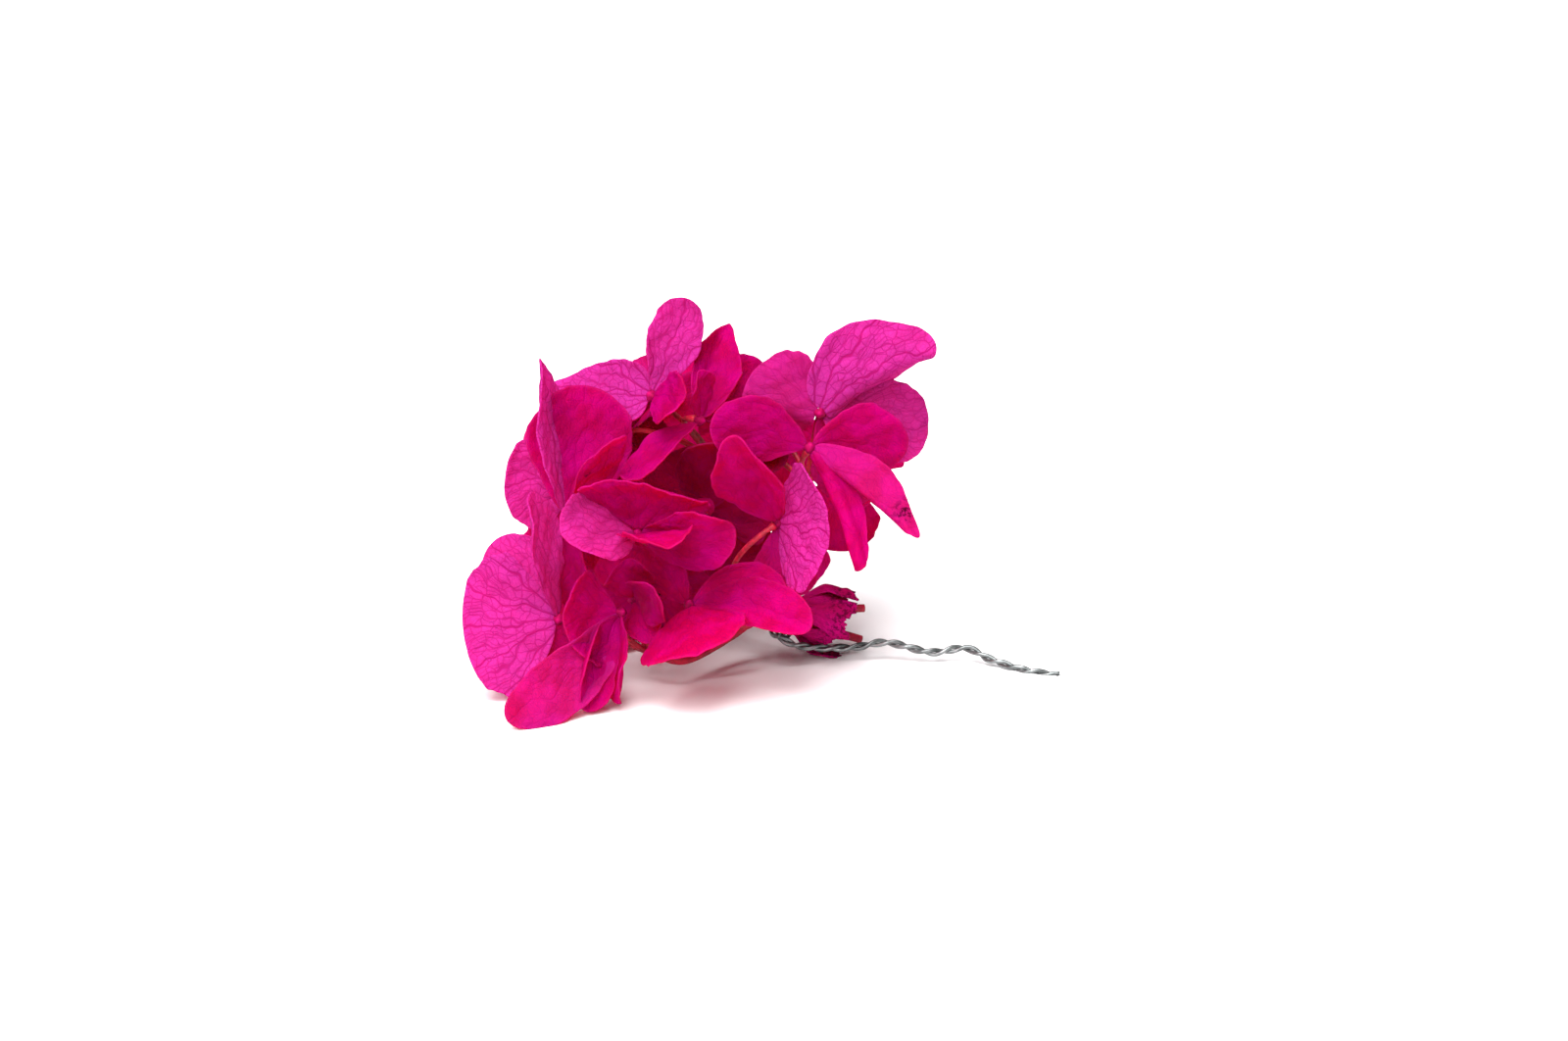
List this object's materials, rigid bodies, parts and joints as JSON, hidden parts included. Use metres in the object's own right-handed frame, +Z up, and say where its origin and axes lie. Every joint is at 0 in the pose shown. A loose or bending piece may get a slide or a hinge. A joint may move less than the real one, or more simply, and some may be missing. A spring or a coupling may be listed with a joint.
{
  "type": "preserved hydrangea pick",
  "caption": "Small pick of dyed preserved hydrangea florets on thin stems, bound at the neck with fine wire whose twisted ends make a tail.",
  "frame": {"origin": "centre of the bounding box at its bottom, on the surface that the flower lies on", "axes": "+Z up, +X from the florets towards the tip of the wire tail, +Y away from the side that the picture shows"},
  "size_m": [0.0888, 0.0556, 0.0563],
  "materials": {
    "dyed_sepal": "matte, slightly translucent",
    "torn_sepal": "matte, crumpled",
    "red_stem": "satin, fleshy",
    "steel_wire": "dull grey"
  },
  "bodies": {
    "root": {"floret_crown": "dyed_sepal", "floret_upper_left": "dyed_sepal", "floret_top_right": "dyed_sepal", "floret_right": "dyed_sepal", "floret_lower_right": "dyed_sepal", "floret_hollow": "dyed_sepal", "floret_front": "dyed_sepal", "floret_left": "dyed_sepal", "floret_far_left": "dyed_sepal", "floret_lower_left": "dyed_sepal", "floret_bottom": "dyed_sepal", "floret_inner": "dyed_sepal", "floret_bottom_right": "dyed_sepal", "floret_back_inner_left": "dyed_sepal", "floret_back_inner_right": "dyed_sepal", "floret_back_heart": "dyed_sepal", "floret_back_crown": "dyed_sepal", "floret_back_top": "dyed_sepal", "floret_back_right": "dyed_sepal", "floret_back_left": "dyed_sepal", "floret_back_low": "dyed_sepal", "stems": "red_stem", "caught_sepals": "torn_sepal", "binding_wire": "steel_wire"}
  },
  "joints": []
}
